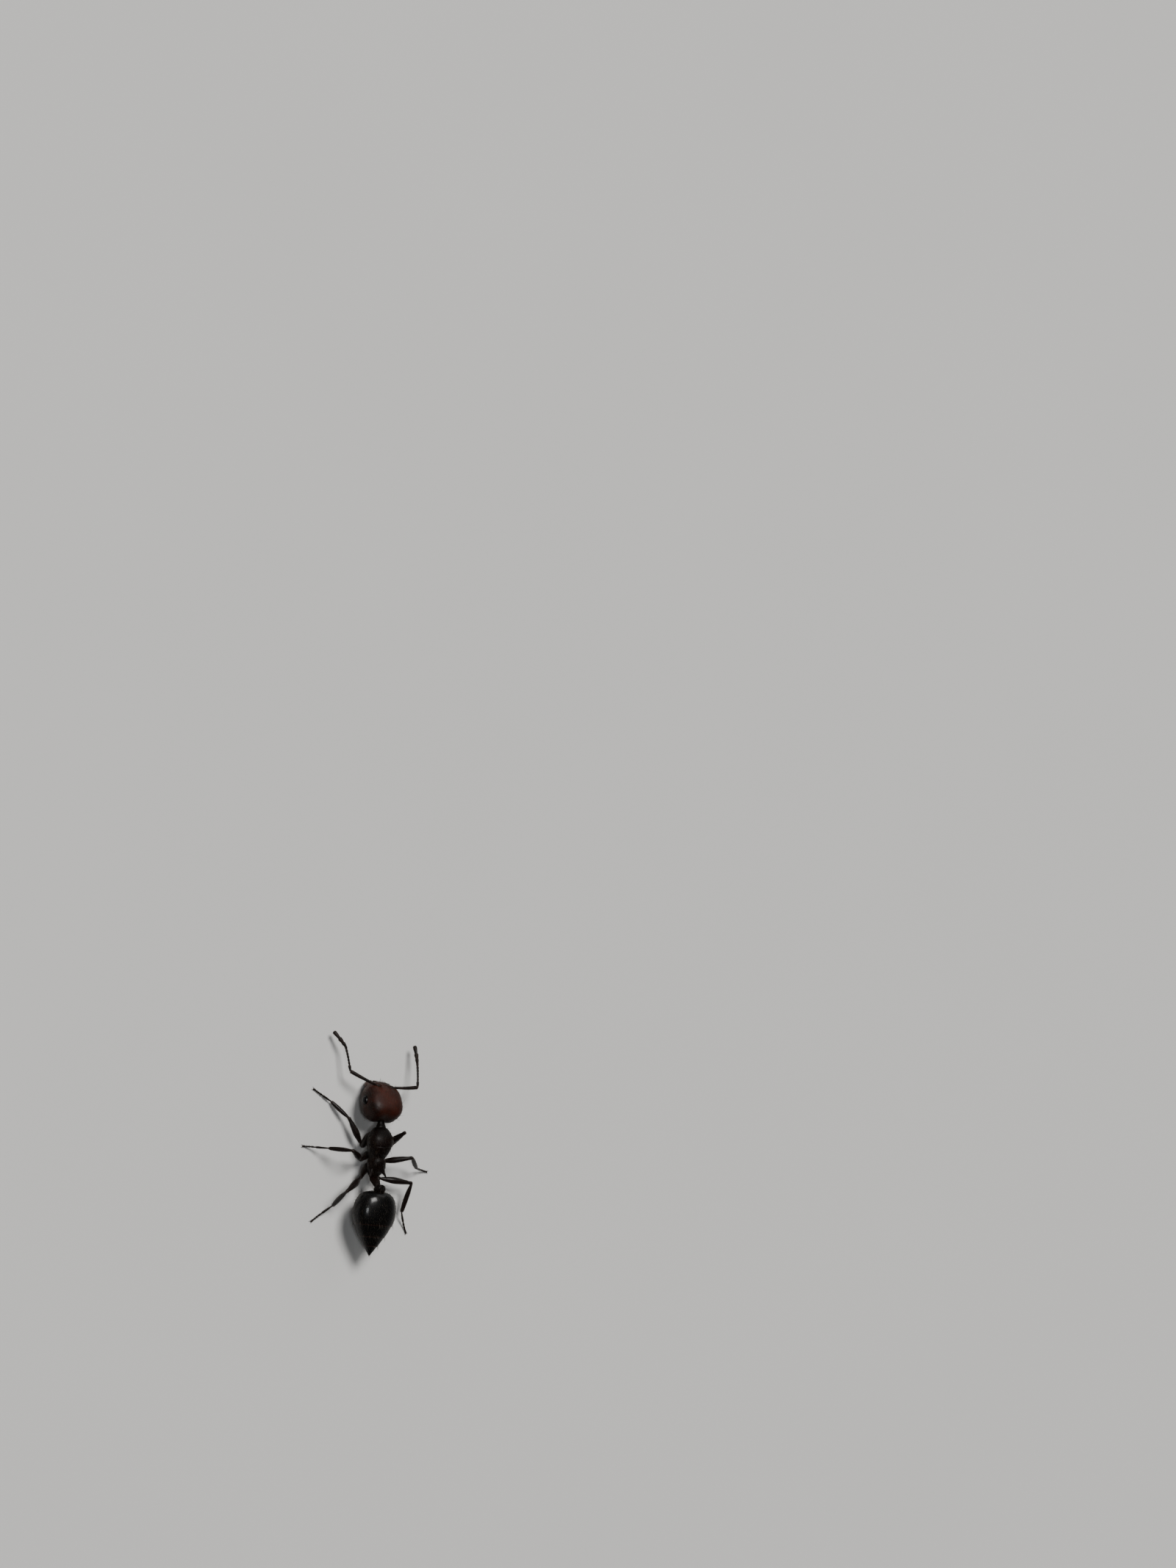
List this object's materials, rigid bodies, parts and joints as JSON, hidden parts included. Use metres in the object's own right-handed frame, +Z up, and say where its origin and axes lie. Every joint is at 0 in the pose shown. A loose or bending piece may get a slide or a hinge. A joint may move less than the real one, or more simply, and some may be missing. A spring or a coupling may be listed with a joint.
{
  "type": "worker ant",
  "caption": "Life-size still model of a red-headed black acrobat ant, standing on its feet with a raised heart-shaped pointed gaster and feelers held forward.",
  "frame": {"origin": "centre of the bounding box's base, on the floor the feet stand on", "axes": "-Y is the way the head points, +X is the ant's left side, +Z is up"},
  "size_m": [0.0046, 0.0064, 0.0013],
  "materials": {
    "head": "red-brown cuticle, satin gloss",
    "mandible": "red-brown toothed cuticle, satin gloss",
    "eye": "black, finely faceted, glossy",
    "antenna": "dark brown cuticle, satin with fine down",
    "trunk": "brown-black cuticle, finely ridged, satin",
    "gaster": "polished black cuticle, high gloss",
    "leg": "dark brown cuticle, satin"
  },
  "bodies": {
    "root": {"head": "head", "mandible_left": "mandible", "eye_left": "eye", "antenna_left_scape": "antenna", "antenna_left_funiculus": "antenna", "antenna_left_club": "antenna", "mandible_right": "mandible", "eye_right": "eye", "antenna_right_scape": "antenna", "antenna_right_funiculus": "antenna", "antenna_right_club": "antenna", "pronotum": "trunk", "mesonotum": "trunk", "propodeum": "trunk", "propodeal_spine_left": "trunk", "propodeal_spine_right": "trunk", "petiole": "trunk", "postpetiole": "trunk", "gaster_1": "gaster", "gaster_2": "gaster", "gaster_3": "gaster", "gaster_4": "gaster", "fore_left_coxa": "leg", "fore_left_femur": "leg", "fore_left_tibia": "leg", "fore_left_tarsus": "leg", "fore_right_coxa": "leg", "fore_right_femur": "leg", "fore_right_tibia": "leg", "fore_right_tarsus": "leg", "mid_left_coxa": "leg", "mid_left_femur": "leg", "mid_left_tibia": "leg", "mid_left_tarsus": "leg", "mid_right_coxa": "leg", "mid_right_femur": "leg", "mid_right_tibia": "leg", "mid_right_tarsus": "leg", "hind_left_coxa": "leg", "hind_left_femur": "leg", "hind_left_tibia": "leg", "hind_left_tarsus": "leg", "hind_right_coxa": "leg", "hind_right_femur": "leg", "hind_right_tibia": "leg", "hind_right_tarsus": "leg"}
  },
  "joints": []
}
